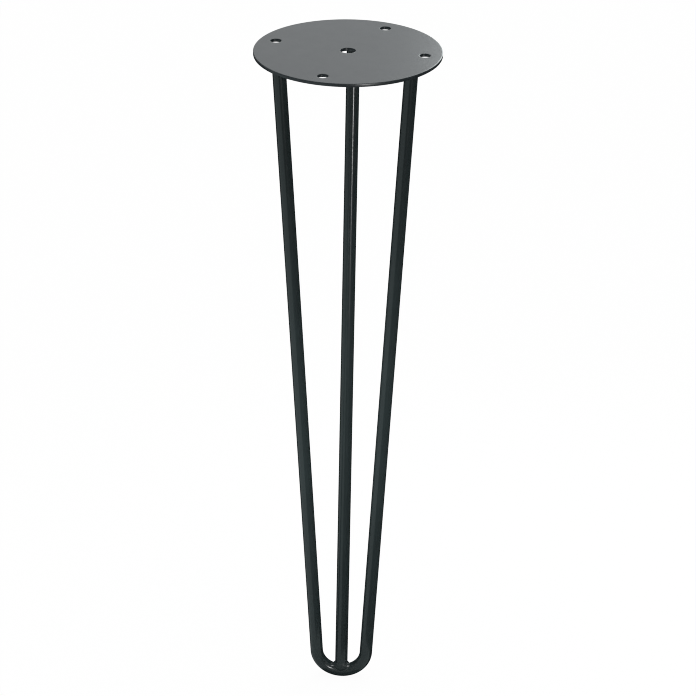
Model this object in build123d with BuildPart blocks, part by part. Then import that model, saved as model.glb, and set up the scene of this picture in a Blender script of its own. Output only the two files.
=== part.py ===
from build123d import *
import os
from math import acos, atan2, degrees, hypot, sqrt

os.makedirs("parts", exist_ok=True)

# Hairpin leg for a table: a round mounting plate on three steel rods that meet in one foot.
# Two of the rods are the arms of a single bent rod, and the third stands in its bend.
# Millimetres and degrees, +Z up, origin at the centre of the plate's top face.

# Driving dimensions
leg_height = 430.0              # table face to floor
plate_diameter = 110.0
plate_thickness = 2.0
plate_edge_break = 0.3          # rim edges, broken before coating
centre_hole_diameter = 9.0
screw_hole_diameter = 6.5
screw_edge_distance = 10.0      # hole centre to rim
near_screw_angle = 46.0         # holes each side of the hairpin's first arm
far_screw_angle = 145.0         # holes on the far side, counted from the same arm
rod_diameter = 8.0
rod_edge_distance = 11.0        # rod centre to rim, at the plate's underside
first_arm_angle = 180.0         # where the hairpin's first arm meets the plate
rod_step_angle = 120.0          # from each rod to the next, round the plate
bend_radius = 16.0              # centre line of the hairpin's bend
third_rod_seat = 1.0            # how deep the third rod's end saddles the bend
plate_weld_leg = 3.0
foot_weld_leg = 3.0
foot_weld_crown = 0.6           # how far the bead stands proud of the third rod
weld_bite = 0.5                 # bead profiles start this far under a rod's surface

# Shared geometry
rod_radius = rod_diameter / 2
rod_circle_radius = plate_diameter / 2 - rod_edge_distance
screw_circle_radius = plate_diameter / 2 - screw_edge_distance
plate_underside = Plane.XY.offset(-plate_thickness)
plate_weld_drop = plate_weld_leg + weld_bite


def rod_top(angle):
    return Vector(rod_circle_radius, 0, -plate_thickness).rotate(Axis.Z, angle)


first_arm_top = rod_top(first_arm_angle)
second_arm_top = rod_top(first_arm_angle + rod_step_angle)
third_rod_top = rod_top(first_arm_angle - rod_step_angle)
foot_centre = Vector(0, 0, rod_radius - leg_height)     # lowest point of the bend's centre line

# Hairpin plane: x along the chord between the arms, y from the foot up to the plate
chord = second_arm_top - first_arm_top
rise = (first_arm_top + second_arm_top) / 2 - foot_centre
hairpin_plane = Plane(origin=foot_centre, x_dir=chord, z_dir=chord.cross(rise))
half_chord = chord.length / 2
bend_to_chord = rise.length - bend_radius
bend_to_arm_top = hypot(half_chord, bend_to_chord)
arm_length = sqrt(bend_to_arm_top**2 - bend_radius**2)
arm_lean = degrees(acos(bend_radius / bend_to_arm_top) - atan2(bend_to_chord, half_chord))
trim_length = rod_diameter      # rods run this far past the underside before they are cut flush

# Third rod plane: x along the same chord, z up the rod from the bend's centre line
third_rod_line = third_rod_top - foot_centre
third_rod_plane = Plane(origin=foot_centre, x_dir=chord, z_dir=third_rod_line)
third_rod_end = third_rod_plane.offset(rod_radius - third_rod_seat)

# Mounting plate: a flat disc with a centre hole and four screw holes
with BuildPart() as mounting_plate:
    with BuildSketch():
        Circle(plate_diameter / 2)
        Circle(centre_hole_diameter / 2, mode=Mode.SUBTRACT)
        for screw_angle in (near_screw_angle, far_screw_angle):
            with PolarLocations(screw_circle_radius, 2, first_arm_angle - screw_angle, 2 * screw_angle,
                                endpoint=True):
                Circle(screw_hole_diameter / 2, mode=Mode.SUBTRACT)
    extrude(amount=-plate_thickness)
    rim_edges = mounting_plate.edges().filter_by(GeomType.CIRCLE).group_by(SortBy.RADIUS)[-1]
    chamfer(rim_edges, length=plate_edge_break)

# Hairpin rod: one round bar, bent once at the foot, its ends cut flush with the plate
with BuildPart() as hairpin_rod:
    with BuildLine(hairpin_plane):
        bend = CenterArc((0, bend_radius), bend_radius, 180 + arm_lean, 180 - 2 * arm_lean)
        first_arm = PolarLine(bend @ 0, arm_length + trim_length, 90 + arm_lean)
        second_arm = PolarLine(bend @ 1, arm_length + trim_length, 90 - arm_lean)
    with BuildSketch(Plane(origin=first_arm @ 1, z_dir=first_arm % 1)):
        Circle(rod_radius)
    sweep()
    split(bisect_by=plate_underside, keep=Keep.BOTTOM)

# Third rod: a straight bar, its lower end coped to saddle the hairpin's bend
with BuildPart() as third_rod:
    with BuildSketch(third_rod_end):
        Circle(rod_radius)
    extrude(amount=third_rod_line.length + trim_length)
    split(bisect_by=plate_underside, keep=Keep.BOTTOM)
    add(hairpin_rod.part, mode=Mode.SUBTRACT)

# Foot weld: a bead round the third rod's end that runs out along the bend
with BuildPart() as foot_weld:
    with BuildSketch(third_rod_plane.offset(rod_radius + foot_weld_leg)):
        Circle(rod_radius - weld_bite)
    with BuildSketch(third_rod_plane.offset(rod_radius)):
        Ellipse(rod_radius + foot_weld_leg, rod_radius + foot_weld_crown)
    with BuildSketch(third_rod_plane):
        Ellipse(rod_radius + foot_weld_leg, rod_radius - weld_bite)
    loft(ruled=True)
    with BuildSketch(third_rod_end):
        Circle(rod_radius)
    extrude(amount=third_rod_line.length, mode=Mode.SUBTRACT)
    add(hairpin_rod.part, mode=Mode.SUBTRACT)

for piece, label in (
    (mounting_plate, "mounting_plate"),
    (hairpin_rod, "hairpin_rod"),
    (third_rod, "third_rod"),
    (foot_weld, "foot_weld"),
):
    piece.part.label = label
    export_step(piece.part, f"parts/{label}.step")

# Plate welds: a fillet bead round the top of each rod, against the plate's underside
for label, weld_centre in (
    ("first_arm_weld", first_arm_top),
    ("second_arm_weld", second_arm_top),
    ("third_rod_weld", third_rod_top),
):
    with BuildPart() as plate_weld:
        with BuildSketch(Plane(origin=weld_centre, x_dir=(1, 0, 0), z_dir=(0, -1, 0))):
            with BuildLine():
                Polyline(
                    (0, 0),
                    (rod_radius + plate_weld_leg, 0),
                    (rod_radius - weld_bite, -plate_weld_drop),
                    (0, -plate_weld_drop),
                    close=True,
                )
            make_face()
        revolve(axis=Axis(weld_centre, (0, 0, 1)))
        add(hairpin_rod.part, mode=Mode.SUBTRACT)
        add(third_rod.part, mode=Mode.SUBTRACT)
    plate_weld.part.label = label
    export_step(plate_weld.part, f"parts/{label}.step")
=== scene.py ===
import math
import bmesh
import bpy
from mathutils import Matrix, Vector


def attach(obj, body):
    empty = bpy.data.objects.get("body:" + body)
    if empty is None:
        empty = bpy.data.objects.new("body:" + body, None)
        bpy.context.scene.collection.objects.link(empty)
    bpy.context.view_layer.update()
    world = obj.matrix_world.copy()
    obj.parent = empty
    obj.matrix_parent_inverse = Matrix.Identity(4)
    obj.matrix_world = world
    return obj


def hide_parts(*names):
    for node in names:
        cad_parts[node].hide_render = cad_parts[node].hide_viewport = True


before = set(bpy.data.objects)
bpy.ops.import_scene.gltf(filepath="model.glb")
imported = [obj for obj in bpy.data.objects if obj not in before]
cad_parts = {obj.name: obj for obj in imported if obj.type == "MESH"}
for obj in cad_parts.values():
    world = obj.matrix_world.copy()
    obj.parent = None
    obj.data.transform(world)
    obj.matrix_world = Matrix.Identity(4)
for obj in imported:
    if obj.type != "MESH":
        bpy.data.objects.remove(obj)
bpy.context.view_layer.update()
scene = bpy.context.scene
print("solids loaded:", ", ".join(sorted(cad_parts)))


# small helpers, used by every piece

def restart():                      # object mode, nothing selected
    if bpy.context.object and bpy.context.object.mode != "OBJECT":
        bpy.ops.object.mode_set(mode="OBJECT")
    bpy.ops.object.select_all(action="DESELECT")


def choose(piece):                  # object mode, this one alone selected and active
    restart()
    piece.select_set(True)
    bpy.context.view_layer.objects.active = piece


def settle(name):                   # names the new primitive and puts its place into its mesh
    piece = bpy.context.active_object
    piece.name = name
    piece.data.name = name
    bpy.ops.object.transform_apply(location=True, rotation=True, scale=True)
    return piece


def drop(piece):                    # deletes a helper object
    choose(piece)
    bpy.ops.object.delete()


def editAll():
    bpy.ops.object.mode_set(mode="EDIT")
    bpy.ops.mesh.select_mode(type="VERT")
    bpy.ops.mesh.select_all(action="SELECT")


def pick(piece, kind, test):        # edit mode: selects the parts that pass the test
    bpy.ops.mesh.select_mode(type=kind)
    bpy.ops.mesh.select_all(action="DESELECT")
    mesh = bmesh.from_edit_mesh(piece.data)
    parts = {"VERT": mesh.verts, "EDGE": mesh.edges, "FACE": mesh.faces}[kind]
    for part in parts:
        part.select_set(bool(test(part)))
    mesh.select_flush_mode()
    bmesh.update_edit_mesh(piece.data)


def pull(step):                     # extrudes what is selected
    bpy.ops.mesh.extrude_region_move(TRANSFORM_OT_translate={"value": tuple(step)})


def faceOutwards():                 # edit mode
    bpy.ops.mesh.select_all(action="SELECT")
    bpy.ops.mesh.normals_make_consistent(inside=False)


def modify(piece, kind, **values):  # adds a modifier, sets it and applies it
    tool = piece.modifiers.new(kind.lower(), kind)
    for name, value in values.items():
        setattr(tool, name, value)
    bpy.context.view_layer.objects.active = piece
    bpy.ops.object.modifier_apply(modifier=tool.name)


def combine(piece, other, way):     # cuts another mesh out of a piece or melts it on
    restart()
    modify(piece, "BOOLEAN", operation=way, solver="EXACT", object=other)


def smooth(piece, crease):          # edges sharper than the crease angle stay sharp
    choose(piece)
    bpy.ops.object.shade_smooth_by_angle(angle=math.radians(crease))


def standFor(piece, coat, slotName, *nodes):    # the piece takes over from its solids
    piece.data.materials.clear()
    piece.data.materials.append(coat)
    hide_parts(*nodes)
    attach(piece, "root")


# where the rods run, from the leg's own sizes

leg = {
    "height": 0.430,
    "underside": -0.002,            # of the mounting plate
    "rodRadius": 0.004,
    "rodCircle": 0.044,             # rod centres at the underside
    "bendRadius": 0.016,            # centre line of the foot's bend
    "thirdSeat": 0.001,             # how deep the third rod sits on the bend
    "armAngles": (180, 300, 60),    # first arm, second arm, third rod
}


def rodTop(angle):
    turn = math.radians(angle)
    return Vector((leg["rodCircle"] * math.cos(turn), leg["rodCircle"] * math.sin(turn), leg["underside"]))


firstTop, secondTop, thirdTop = (rodTop(angle) for angle in leg["armAngles"])
footCentre = Vector((0, 0, leg["rodRadius"] - leg["height"]))
chord = secondTop - firstTop
rise = (firstTop + secondTop) / 2 - footCentre
across, upward = chord.normalized(), rise.normalized()
bendAxis = across.cross(upward)
bendCentre = footCentre + upward * leg["bendRadius"]
bendToChord = rise.length - leg["bendRadius"]
bendToTop = math.hypot(chord.length / 2, bendToChord)
armLean = math.acos(leg["bendRadius"] / bendToTop) - math.atan2(bendToChord, chord.length / 2)
armLength = math.sqrt(bendToTop ** 2 - leg["bendRadius"] ** 2)
thirdLine = (thirdTop - footCentre).normalized()


# coat finishes: one shared powder skin, laid on each finish with its own values

skinGrain = {
    "peel": {"detail": 1.5, "soft": 0.45},
    "grain": {"detail": 2.0, "soft": 0.6, "stretch": 5.0},
    "tone": {"detail": 3.0, "soft": 0.55},
    "gloss": {"detail": 4.0, "soft": 0.6, "stretch": 2.7},
    "nibEdge": 0.07,                # reach of a nib, in cells
    "nibCore": 0.02,
    "low": 0.3,                     # the part of the clouds' range that is used
    "high": 0.7,
}
numberA, numberB, numberOut = 2, 3, 0       # a Mix node's own sockets for numbers
colourA, colourB, colourOut = 6, 7, 2       # and for colours


def powderSkin():
    group = bpy.data.node_groups.new("powderSkin", "ShaderNodeTree")
    face = group.interface
    face.new_socket("Vector", in_out="INPUT", socket_type="NodeSocketVector")
    for name in ("Peel Scale", "Grain Share", "Cloud Scale"):
        face.new_socket(name, in_out="INPUT", socket_type="NodeSocketFloat")
    for name in ("Height", "Tone", "Gloss", "Nib"):
        face.new_socket(name, in_out="OUTPUT", socket_type="NodeSocketFloat")
    nodes, links = group.nodes, group.links
    inlet, outlet = nodes.new("NodeGroupInput"), nodes.new("NodeGroupOutput")

    def noise(scaleFrom, detail, soft, stretch=1.0):
        tex = nodes.new("ShaderNodeTexNoise")
        tex.inputs["Detail"].default_value = detail
        tex.inputs["Roughness"].default_value = soft
        links.new(inlet.outputs["Vector"], tex.inputs["Vector"])
        times = nodes.new("ShaderNodeMath")
        times.operation = "MULTIPLY"
        times.inputs[1].default_value = stretch
        links.new(inlet.outputs[scaleFrom], times.inputs[0])
        links.new(times.outputs[0], tex.inputs["Scale"])
        return tex.outputs["Fac"]

    peel = noise("Peel Scale", **skinGrain["peel"])
    grain = noise("Peel Scale", **skinGrain["grain"])
    blend = nodes.new("ShaderNodeMix")
    links.new(inlet.outputs["Grain Share"], blend.inputs["Factor"])
    links.new(peel, blend.inputs[numberA])
    links.new(grain, blend.inputs[numberB])
    links.new(blend.outputs[numberOut], outlet.inputs["Height"])
    links.new(noise("Cloud Scale", **skinGrain["tone"]), outlet.inputs["Tone"])
    links.new(noise("Cloud Scale", **skinGrain["gloss"]), outlet.inputs["Gloss"])
    specks = nodes.new("ShaderNodeTexVoronoi")      # tiny nibs caught in the coat
    links.new(inlet.outputs["Vector"], specks.inputs["Vector"])
    links.new(inlet.outputs["Peel Scale"], specks.inputs["Scale"])
    near = nodes.new("ShaderNodeMapRange")
    near.inputs["From Min"].default_value = skinGrain["nibEdge"]
    near.inputs["From Max"].default_value = skinGrain["nibCore"]
    links.new(specks.outputs["Distance"], near.inputs["Value"])
    links.new(near.outputs[0], outlet.inputs["Nib"])
    return group


skin = powderSkin()


def coatMaterial(name, spec):
    mat = bpy.data.materials.new(name)
    mat.use_nodes = True
    nodes, links = mat.node_tree.nodes, mat.node_tree.links
    paint = nodes["Principled BSDF"]
    paint.inputs["IOR"].default_value = spec["ior"]
    place = nodes.new("ShaderNodeTexCoord")
    coat = nodes.new("ShaderNodeGroup")
    coat.node_tree = skin
    links.new(place.outputs["Object"], coat.inputs["Vector"])
    coat.inputs["Peel Scale"].default_value = spec["peelScale"]
    coat.inputs["Grain Share"].default_value = spec["grainShare"]
    coat.inputs["Cloud Scale"].default_value = spec["cloudScale"]

    shade = nodes.new("ShaderNodeValToRGB")         # the black drifts a little from place to place
    shade.color_ramp.elements[0].position = skinGrain["low"]
    shade.color_ramp.elements[0].color = (*spec["deep"], 1)
    shade.color_ramp.elements[1].position = skinGrain["high"]
    shade.color_ramp.elements[1].color = (*spec["lifted"], 1)
    links.new(coat.outputs["Tone"], shade.inputs["Fac"])
    dusted = nodes.new("ShaderNodeMix")
    dusted.data_type = "RGBA"
    dusted.inputs[colourB].default_value = (*spec["nibColour"], 1)
    links.new(coat.outputs["Nib"], dusted.inputs["Factor"])
    links.new(shade.outputs["Color"], dusted.inputs[colourA])
    links.new(dusted.outputs[colourOut], paint.inputs["Base Color"])

    gloss = nodes.new("ShaderNodeMapRange")         # faint cloudy change of shine
    gloss.inputs["From Min"].default_value = skinGrain["low"]
    gloss.inputs["From Max"].default_value = skinGrain["high"]
    gloss.inputs["To Min"].default_value = spec["shine"][0]
    gloss.inputs["To Max"].default_value = spec["shine"][1]
    links.new(coat.outputs["Gloss"], gloss.inputs["Value"])
    links.new(gloss.outputs[0], paint.inputs["Roughness"])

    bump = nodes.new("ShaderNodeBump")              # orange peel
    bump.inputs["Strength"].default_value = spec["peelStrength"]
    bump.inputs["Distance"].default_value = spec["peelDepth"]
    links.new(coat.outputs["Height"], bump.inputs["Height"])
    links.new(bump.outputs["Normal"], paint.inputs["Normal"])
    return mat


plateCoat = coatMaterial("plateCoat", {
    "deep": (0.0165, 0.0240, 0.0280), "lifted": (0.0200, 0.0285, 0.0325), "nibColour": (0.05, 0.05, 0.05),
    "ior": 1.56, "shine": (0.30, 0.34), "cloudScale": 35,
    "peelScale": 650, "grainShare": 0.25, "peelDepth": 0.00002, "peelStrength": 0.25,
})
rodCoat = coatMaterial("rodCoat", {
    "deep": (0.0180, 0.0265, 0.0274), "lifted": (0.0215, 0.0312, 0.0322), "nibColour": (0.05, 0.05, 0.05),
    "ior": 1.5, "shine": (0.18, 0.23), "cloudScale": 30,
    "peelScale": 700, "grainShare": 0.25, "peelDepth": 0.00002, "peelStrength": 0.25,
})
weldCoat = coatMaterial("weldCoat", {
    "deep": (0.0180, 0.0265, 0.0274), "lifted": (0.0215, 0.0312, 0.0322), "nibColour": (0.06, 0.06, 0.06),
    "ior": 1.5, "shine": (0.25, 0.33), "cloudScale": 90,
    "peelScale": 500, "grainShare": 0.35, "peelDepth": 0.00005, "peelStrength": 0.4,
})
print("coats mixed")


# mounting plate: a disc with its holes, every edge rounded over by the coat

plate = {
    "radius": 0.055,
    "thickness": 0.002,
    "sides": 256,
    "centreHole": 0.0045,
    "screwHole": 0.00325,
    "screwCircle": 0.045,
    "screwAngles": (134, 226, 35, 325),
    "holeSides": 72,
    "punchReach": 3,                # times the thickness
    "mergeGap": 1e-7,
    "flatFrom": 0.99,               # a face whose normal is this upright counts as flat
    "sharpFrom": 60,                # degrees, an edge to be rounded
    "holdingBand": 0.0009,          # flat band kept beside each rounded edge
    "holeRound": 0.0001,            # holes, on the table side
    "holeSteps": 2,
    "rollRound": 0.0005,            # holes, where the punch came through
    "rollSteps": 4,
    "rimRound": 0.0003,
    "rimSteps": 4,
    "crease": 35,
}


def makePlate():
    restart()
    bpy.ops.mesh.primitive_cylinder_add(vertices=plate["sides"], radius=plate["radius"],
                                        depth=plate["thickness"], location=(0, 0, -plate["thickness"] / 2))
    piece = settle("platePressed")
    holes = [(0, 0, plate["centreHole"])]
    for angle in plate["screwAngles"]:
        turn = math.radians(angle)
        holes.append((plate["screwCircle"] * math.cos(turn), plate["screwCircle"] * math.sin(turn),
                      plate["screwHole"]))
    for x, y, radius in holes:      # punched through one at a time
        restart()
        bpy.ops.mesh.primitive_cylinder_add(vertices=plate["holeSides"], radius=radius, location=(x, y, 0),
                                            depth=plate["thickness"] * plate["punchReach"])
        punch = settle("punch")
        combine(piece, punch, "DIFFERENCE")
        drop(punch)
    choose(piece)
    editAll()
    bpy.ops.mesh.remove_doubles(threshold=plate["mergeGap"])
    pick(piece, "FACE", lambda face: abs(face.normal.z) > plate["flatFrom"])
    bpy.ops.mesh.inset(thickness=plate["holdingBand"], use_even_offset=True)
    inner = plate["radius"] - plate["rimRound"] / 2

    def sharp(edge):
        return len(edge.link_faces) == 2 and edge.calc_face_angle() > math.radians(plate["sharpFrom"])

    def onRim(edge):
        return all(vert.co.xy.length > inner for vert in edge.verts)

    def onTop(edge):
        return all(vert.co.z > -plate["thickness"] / 2 for vert in edge.verts)

    def roundOver(name, test):
        pick(piece, "EDGE", lambda edge: sharp(edge) and test(edge))
        bpy.ops.mesh.bevel(offset=plate[name + "Round"], segments=plate[name + "Steps"], affect="EDGES")

    roundOver("hole", lambda edge: onTop(edge) and not onRim(edge))
    roundOver("roll", lambda edge: not onTop(edge) and not onRim(edge))
    roundOver("rim", onRim)
    smooth(piece, plate["crease"])
    return piece


standFor(makePlate(), plateCoat, "plate_coat", "mounting_plate")
print("plate pressed and punched")


# rods: a ring drawn out along each line, spun round the bend, cut flush under the plate

rods = {
    "sides": 64,
    "bendSteps": 56,
    "trim": 0.008,                  # spare length above the underside before the cut
    "crease": 35,
}


def ringAt(name, place, along):
    restart()
    bpy.ops.mesh.primitive_circle_add(vertices=rods["sides"], radius=leg["rodRadius"], location=place,
                                      rotation=along.to_track_quat("Z", "Y").to_euler())
    piece = settle(name)
    editAll()
    return piece


def cutFlush():                     # trims what stands above the plate's underside and closes it
    bpy.ops.mesh.select_all(action="SELECT")
    bpy.ops.mesh.bisect(plane_co=(0, 0, leg["underside"]), plane_no=(0, 0, 1),
                        clear_outer=True, use_fill=True)
    faceOutwards()


def makeHairpin():
    firstWay = upward * math.cos(armLean) - across * math.sin(armLean)
    secondWay = upward * math.cos(armLean) + across * math.sin(armLean)
    bendStart = bendCentre - (across * math.cos(armLean) + upward * math.sin(armLean)) * leg["bendRadius"]
    reach = armLength + rods["trim"]
    piece = ringAt("hairpinBent", bendStart + firstWay * reach, firstWay)
    pull(firstWay * -reach)
    bpy.ops.mesh.spin(steps=rods["bendSteps"], angle=2 * armLean - math.pi, center=bendCentre, axis=bendAxis)
    pull(secondWay * reach)
    cutFlush()
    smooth(piece, rods["crease"])
    return piece


hairpin = makeHairpin()


def makeThird():
    reach = (thirdTop - footCentre).length + rods["trim"]
    piece = ringAt("thirdRodCoped", footCentre + thirdLine * reach, thirdLine)
    pull(thirdLine * (leg["rodRadius"] - leg["thirdSeat"] - reach))
    bpy.ops.mesh.edge_face_add()
    cutFlush()
    combine(piece, hairpin, "DIFFERENCE")       # the lower end saddles the bend
    smooth(piece, rods["crease"])
    return piece


standFor(makeThird(), rodCoat, "rod_coat", "third_rod")
standFor(hairpin, rodCoat, "rod_coat", "hairpin_rod")
print("rods bent and coped")


# welds: rippled beads under the plate and round the third rod's foot

plateWeld = {
    "ripples": 17,
    "ripplePoints": 6,
    "profile": (                    # radius and drop below the plate, from the toe on the plate down the rod
        (0.00700, 0.0000), (0.00688, 0.00040), (0.00642, 0.00085), (0.00575, 0.00145),
        (0.00508, 0.00215), (0.00450, 0.00285), (0.00408, 0.00325), (0.00350, 0.00340),
    ),
    "rippleBand": (-0.0031, -0.0002),
    "push": 1.03,                   # how far each ripple's crest stands out
    "lump": 0.00030,
    "lumpSize": 0.0025,
    "turns": (20, 145, 260),        # degrees, so that no two beads look alike
    "crease": 60,
}
footWeld = {
    "ripples": 16,
    "ripplePoints": 6,
    "sections": (                   # height up the third rod, half width along the bend, half width across it
        (0.00700, 0.00350, 0.00350), (0.00660, 0.00402, 0.00396), (0.00615, 0.00424, 0.00402),
        (0.00575, 0.00450, 0.00405), (0.00535, 0.00486, 0.00407), (0.00495, 0.00535, 0.00409),
        (0.00455, 0.00590, 0.00410), (0.00400, 0.00630, 0.00410), (0.00250, 0.00560, 0.00407),
        (0.00130, 0.00470, 0.00398), (0.00000, 0.00420, 0.00350),
    ),
    "rippleBand": (0.0015, 0.0062),
    "push": 1.015,
    "lump": 0.00020,
    "lumpSize": 0.0022,
    "dabs": (                       # one in each corner: along the bend, across it, up the rod,
        # then half width and half height
        (-0.0059, -0.0027, 0.0042, 0.0021, 0.0014), (0.0045, -0.0024, 0.0043, 0.0022, 0.0017),
    ),
    "dabFineness": 5,
    "dabDepth": 0.0006,
    "dabRoot": 3.3,                 # times deeper behind
    "dabFacing": (0.25, -0.92, 0.30),
    "grid": 0.00016,                # fineness of the bead once the dabs are run in
    "flow": 8,                      # how often it is smoothed, and how strongly
    "flowShare": 0.5,
    "crease": 60,
}


def pushRipples(piece, spec):       # every few points round, a crest stands out
    count = spec["ripples"] * spec["ripplePoints"]
    low, high = spec["rippleBand"]

    def crest(vert):
        turn = math.atan2(vert.co.y, vert.co.x) % math.tau
        return low < vert.co.z < high and round(turn * count / math.tau) % spec["ripplePoints"] == 0

    pick(piece, "VERT", crest)
    bpy.ops.transform.resize(value=(spec["push"], spec["push"], 1), center_override=(0, 0, 0))


def lumpy(piece, spec):             # softens the bead and makes it uneven, where it stands
    choose(piece)
    modify(piece, "SUBSURF", levels=1, render_levels=1)
    cloud = bpy.data.textures.new("weldLumps", "CLOUDS")
    cloud.noise_scale = spec["lumpSize"]
    modify(piece, "DISPLACE", texture=cloud, texture_coords="LOCAL", strength=spec["lump"])
    smooth(piece, spec["crease"])


def makePlateWelds():
    restart()
    profile = plateWeld["profile"]
    toe = profile[0][0]
    bpy.ops.mesh.primitive_circle_add(vertices=plateWeld["ripples"] * plateWeld["ripplePoints"], radius=toe)
    first = settle("plateWeld")
    editAll()
    for (wide, depth), (nextWide, nextDepth) in zip(profile, profile[1:]):
        pull((0, 0, depth - nextDepth))
        bpy.ops.transform.resize(value=(nextWide / wide, nextWide / wide, 1),
                                 center_override=(0, 0, -nextDepth))
    pull((0, 0, profile[-1][1]))    # back up inside the rod, to close the bead
    pick(first, "EDGE", lambda edge: edge.is_boundary)
    bpy.ops.mesh.bridge_edge_loops()
    pushRipples(first, plateWeld)
    faceOutwards()
    tops = {"firstArmWeld": firstTop, "secondArmWeld": secondTop, "thirdRodWeld": thirdTop}
    made = []
    for (name, top), turn in zip(tops.items(), plateWeld["turns"]):
        choose(first)
        bpy.ops.object.duplicate()
        bead = bpy.context.active_object
        bead.rotation_euler.z = math.radians(turn)
        bead.location = top
        made.append(settle(name))
    drop(first)
    for bead in made:
        lumpy(bead, plateWeld)
    return made


def addDabs(piece, place):          # blobs of weld metal, egg-shaped, with their blunt side to the front
    facing = Vector(footWeld["dabFacing"]).to_track_quat("Z", "Y").to_matrix().to_4x4()
    for *spot, wide, high in footWeld["dabs"]:
        restart()
        bpy.ops.mesh.primitive_ico_sphere_add(subdivisions=footWeld["dabFineness"], radius=1)
        dab = bpy.context.active_object
        editAll()
        pick(dab, "VERT", lambda vert: vert.co.z < 0)
        bpy.ops.transform.resize(value=(1, 1, footWeld["dabRoot"]), center_override=(0, 0, 0))
        choose(dab)
        size = Matrix.Diagonal((wide, high, footWeld["dabDepth"], 1))
        dab.matrix_world = place @ Matrix.Translation(spot) @ facing @ size
        settle("dab")
        combine(piece, dab, "UNION")
        drop(dab)


def makeFootWeld():
    restart()
    sections = footWeld["sections"]
    top, start = sections[0][:2]
    bpy.ops.mesh.primitive_circle_add(vertices=footWeld["ripples"] * footWeld["ripplePoints"],
                                      radius=start, fill_type="NGON", location=(0, 0, top))
    piece = settle("footWeld")
    editAll()
    for (height, wide, deep), (nextHeight, nextWide, nextDeep) in zip(sections, sections[1:]):
        pull((0, 0, nextHeight - height))
        bpy.ops.transform.resize(value=(nextWide / wide, nextDeep / deep, 1),
                                 center_override=(0, 0, nextHeight))
    pushRipples(piece, footWeld)
    faceOutwards()
    choose(piece)
    turned = Matrix((across, thirdLine.cross(across).normalized(), thirdLine)).transposed().to_4x4()
    place = Matrix.Translation(footCentre) @ turned
    piece.matrix_world = place
    settle("footWeld")
    lumpy(piece, footWeld)
    addDabs(piece, place)
    modify(piece, "REMESH", mode="VOXEL", voxel_size=footWeld["grid"])      # runs dabs and bead together
    modify(piece, "SMOOTH", factor=footWeld["flowShare"], iterations=footWeld["flow"])
    smooth(piece, footWeld["crease"])
    return piece


for bead, node in zip(makePlateWelds(), ("first_arm_weld", "second_arm_weld", "third_rod_weld")):
    standFor(bead, weldCoat, "weld_coat", node)
standFor(makeFootWeld(), weldCoat, "weld_coat", "foot_weld")
print("welds laid")


# studio: pale floor, white surroundings, soft lamps, dark and grey cards that shape the reflections

shot = {
    "place": (-0.61848, -1.28224, 0.51205),
    "heading": -25.83,              # degrees, turned from +Y
    "pitch": 26.318,                # below the horizon
    "roll": 0.675,
    "lens": 134.32,
    "sensor": 36.0,
    "clipStart": 0.05,
    "filterWidth": 1.0,             # pixels, as crisp as the photograph
}
# x right and y away, as the camera sees them
studioTurn = Matrix.Rotation(math.radians(shot["heading"]), 4, "Z")


def seenWhite(nodes, links):        # 1 for rays from the lens, from gloss or through glass
    path = nodes.new("ShaderNodeLightPath")
    first, second = nodes.new("ShaderNodeMath"), nodes.new("ShaderNodeMath")
    first.operation = second.operation = "MAXIMUM"
    links.new(path.outputs["Is Camera Ray"], first.inputs[0])
    links.new(path.outputs["Is Glossy Ray"], first.inputs[1])
    links.new(first.outputs[0], second.inputs[0])
    links.new(path.outputs["Is Transmission Ray"], second.inputs[1])
    return second.outputs[0]


surround = {"ambient": 0.2, "white": 1.0}


def makeWorld():
    world = bpy.data.worlds.new("studioWorld")
    scene.world = world
    world.use_nodes = True
    world.cycles.sampling_method = "NONE"       # plain white needs no lamp sampling
    nodes, links = world.node_tree.nodes, world.node_tree.links
    level = nodes.new("ShaderNodeMapRange")
    level.inputs["To Min"].default_value = surround["ambient"]
    level.inputs["To Max"].default_value = surround["white"]
    links.new(seenWhite(nodes, links), level.inputs["Value"])
    sky = nodes["Background"]
    sky.inputs["Color"].default_value = (1, 1, 1, 1)
    links.new(level.outputs[0], sky.inputs["Strength"])


floor = {"size": 14.0, "colour": (0.95, 0.95, 0.95), "whiteShare": 0.96}


def makeFloor():
    restart()
    bpy.ops.mesh.primitive_plane_add(size=floor["size"], location=(0, 0, -leg["height"]))
    ground = settle("studioFloor")
    mat = bpy.data.materials.new("paleFloor")
    mat.use_nodes = True
    mat.cycles.emission_sampling = "NONE"
    nodes, links = mat.node_tree.nodes, mat.node_tree.links
    nodes.remove(nodes["Principled BSDF"])
    matt, glow = nodes.new("ShaderNodeBsdfDiffuse"), nodes.new("ShaderNodeEmission")
    matt.inputs["Color"].default_value = (*floor["colour"], 1)
    share = nodes.new("ShaderNodeMath")         # the rest still takes the object's shadow
    share.operation = "MULTIPLY"
    share.inputs[1].default_value = floor["whiteShare"]
    links.new(seenWhite(nodes, links), share.inputs[0])
    lit = nodes.new("ShaderNodeMixShader")
    links.new(share.outputs[0], lit.inputs["Fac"])
    links.new(matt.outputs[0], lit.inputs[1])
    links.new(glow.outputs[0], lit.inputs[2])
    under, side = nodes.new("ShaderNodeBsdfTransparent"), nodes.new("ShaderNodeNewGeometry")
    oneSided = nodes.new("ShaderNodeMixShader")     # seen from below it isn't there
    links.new(side.outputs["Backfacing"], oneSided.inputs["Fac"])
    links.new(lit.outputs[0], oneSided.inputs[1])
    links.new(under.outputs[0], oneSided.inputs[2])
    links.new(oneSided.outputs[0], nodes["Material Output"].inputs["Surface"])
    ground.data.materials.append(mat)


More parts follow.
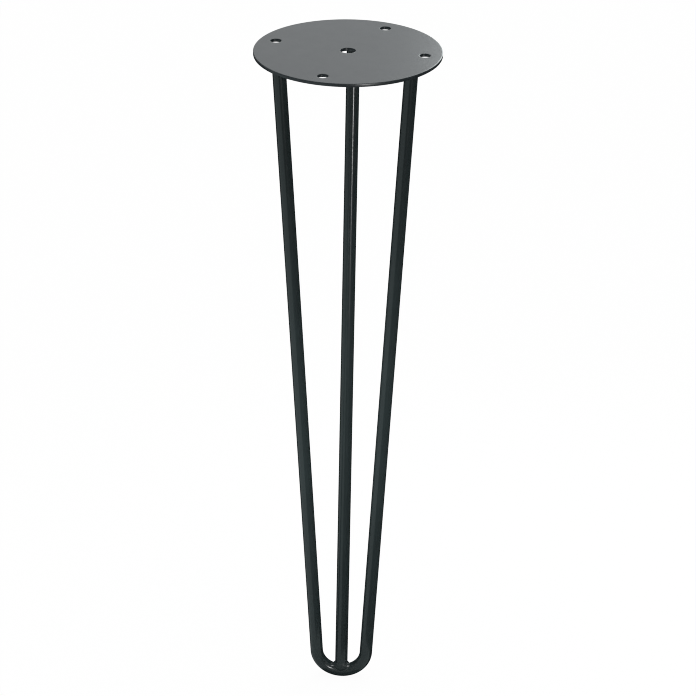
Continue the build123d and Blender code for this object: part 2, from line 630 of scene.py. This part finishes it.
cards = {                           # places as the camera sees them, seen only in reflections
    "clothRadius": 2.4,             # black cloth round the leg
    "clothSides": 64,
    "clothLift": 0.0004,
    "clothColour": (0.02, 0.02, 0.02),
    "curtainHeight": 6.0,           # grey curtain behind the camera
    "curtainReach": 0.5,            # how far back its two ends come
    "curtainColour": (0.5, 0.5, 0.5),
    "flags": (                      # upright black flags: behind the foot, and behind the plate's left edge
        ("footFlag", (0, 0.5, -0.27), (1.8, 0.32)),
        ("plateFlag", (-0.29, 0.30, 0.12), (0.34, 0.26)),
    ),
    "paleNear": 0.015,              # part of a grey ring that lights the rods' left sides
    "paleTurn": 0.045,              # up to here it goes round the front of the foot as well
    "paleFar": 1.9,
    "paleSides": 240,
    "frontFrom": -75,               # where it starts there, in degrees to the left of the camera
    "paleFrom": 15,                 # and where farther out
    "paleTo": 108,
    "paleColour": (0.40, 0.45, 0.45),
}


def reflectOnly(card, name, colour):
    mat = bpy.data.materials.new(name)
    mat.use_nodes = True
    flat = mat.node_tree.nodes["Principled BSDF"]
    flat.inputs["Base Color"].default_value = (*colour, 1)
    flat.inputs["Roughness"].default_value = 1.0
    flat.inputs["Specular IOR Level"].default_value = 0.0
    card.data.materials.append(mat)
    card.visible_camera = card.visible_diffuse = card.visible_transmission = False
    card.visible_shadow = card.visible_volume_scatter = False


def seenPlace(face):                # a face's middle, as the camera sees it
    return studioTurn.inverted() @ face.calc_center_median()


def makeCards():
    low = -leg["height"] + cards["clothLift"]
    restart()
    bpy.ops.mesh.primitive_circle_add(vertices=cards["clothSides"], radius=cards["clothRadius"],
                                      fill_type="NGON", location=(0, 0, low))
    reflectOnly(settle("blackCloth"), "blackCloth", cards["clothColour"])

    restart()
    bpy.ops.mesh.primitive_circle_add(vertices=cards["clothSides"], radius=cards["clothRadius"],
                                      location=(0, 0, low))
    curtain = settle("greyCurtain")
    editAll()
    pull((0, 0, cards["curtainHeight"]))
    pick(curtain, "FACE", lambda face: seenPlace(face).y > cards["curtainReach"])
    bpy.ops.mesh.delete(type="FACE")
    restart()
    reflectOnly(curtain, "greyCurtain", cards["curtainColour"])

    upright = Matrix.Rotation(math.radians(90), 4, "X")
    for name, place, (wide, high) in cards["flags"]:
        restart()
        bpy.ops.mesh.primitive_plane_add(size=1.0)
        flag = bpy.context.active_object
        size = Matrix.Diagonal((wide, high, 1, 1))
        flag.matrix_world = studioTurn @ Matrix.Translation(place) @ upright @ size
        reflectOnly(settle(name), name, cards["clothColour"])

    def outsideArc(face):
        seen = seenPlace(face)
        start = cards["frontFrom"] if seen.xy.length < cards["paleTurn"] else cards["paleFrom"]
        return not start < math.degrees(math.atan2(-seen.x, -seen.y)) < cards["paleTo"]

    low += cards["clothLift"]
    restart()
    bpy.ops.mesh.primitive_circle_add(vertices=cards["paleSides"], radius=cards["paleNear"],
                                      location=(0, 0, low))
    pale = settle("paleCard")
    editAll()
    for inner, outer in ((cards["paleNear"], cards["paleTurn"]), (cards["paleTurn"], cards["paleFar"])):
        pull((0, 0, 0))
        bpy.ops.transform.resize(value=(outer / inner, outer / inner, 1), center_override=(0, 0, low))
    pick(pale, "FACE", outsideArc)
    bpy.ops.mesh.delete(type="FACE")
    restart()
    reflectOnly(pale, "paleCard", cards["paleColour"])


lamps = {                           # places and aims as the camera sees them
    "softKey": {
        "place": (-0.55, -1.00, 0.75), "aim": (0, 0, -0.22), "size": (0.8, 0.8), "watts": 0.5,
    },
    "backPanel": {
        "place": (0.235, 0.30, 0.11), "aim": (0.235, 0, 0), "size": (0.3, 0.2), "watts": 1.0,
        "colour": (0.94, 1, 1),
    },
    "midFill": {
        "place": (-0.04, -0.37, -0.245), "aim": (0, 0, -0.245), "size": (0.2, 0.08), "watts": 0.082,
        "spread": 55, "only": "fill",
    },
    "lineStrip": {
        "place": (0.455, -1.17, -0.165), "aim": (0, 0.04, -0.05), "size": (0.018, 0.31), "watts": 4.0,
        "only": "glint",
    },
}
overhead = {"strength": 2.25, "spread": 50}     # soft light straight down, even over the floor


def makeLamps():
    for name, spec in lamps.items():
        data = bpy.data.lights.new(name, "AREA")
        data.shape = "RECTANGLE"
        data.size, data.size_y = spec["size"]
        data.spread = math.radians(spec.get("spread", 180))
        data.energy = spec["watts"]
        data.color = spec.get("colour", (1, 1, 1))
        lamp = bpy.data.objects.new(name, data)
        scene.collection.objects.link(lamp)
        spot, target = studioTurn @ Vector(spec["place"]), studioTurn @ Vector(spec["aim"])
        lamp.location = spot
        lamp.rotation_euler = (target - spot).to_track_quat("-Z", "Y").to_euler()
        lamp.visible_camera = False
        lamp.visible_glossy = spec.get("only") != "fill"        # a fill makes no glint of its own
        lamp.visible_diffuse = spec.get("only") != "glint"      # and a glint adds no light
    data = bpy.data.lights.new("overhead", "SUN")
    data.energy = overhead["strength"]
    data.angle = math.radians(overhead["spread"])
    lamp = bpy.data.objects.new("overhead", data)
    lamp.visible_glossy = False
    scene.collection.objects.link(lamp)


def makeCamera():
    data = bpy.data.cameras.new("shotCamera")
    data.lens = shot["lens"]
    data.sensor_width = shot["sensor"]
    data.clip_start = shot["clipStart"]
    camera = bpy.data.objects.new("shotCamera", data)
    scene.collection.objects.link(camera)
    tilt = Matrix.Rotation(math.radians(90 - shot["pitch"]), 4, "X")
    twist = Matrix.Rotation(math.radians(shot["roll"]), 4, "Z")
    camera.matrix_world = Matrix.Translation(shot["place"]) @ studioTurn @ tilt @ twist
    scene.camera = camera


makeWorld()
makeFloor()
makeCards()
makeLamps()
makeCamera()
scene.view_settings.view_transform = "Standard"
scene.cycles.filter_width = shot["filterWidth"]
print("studio lit")
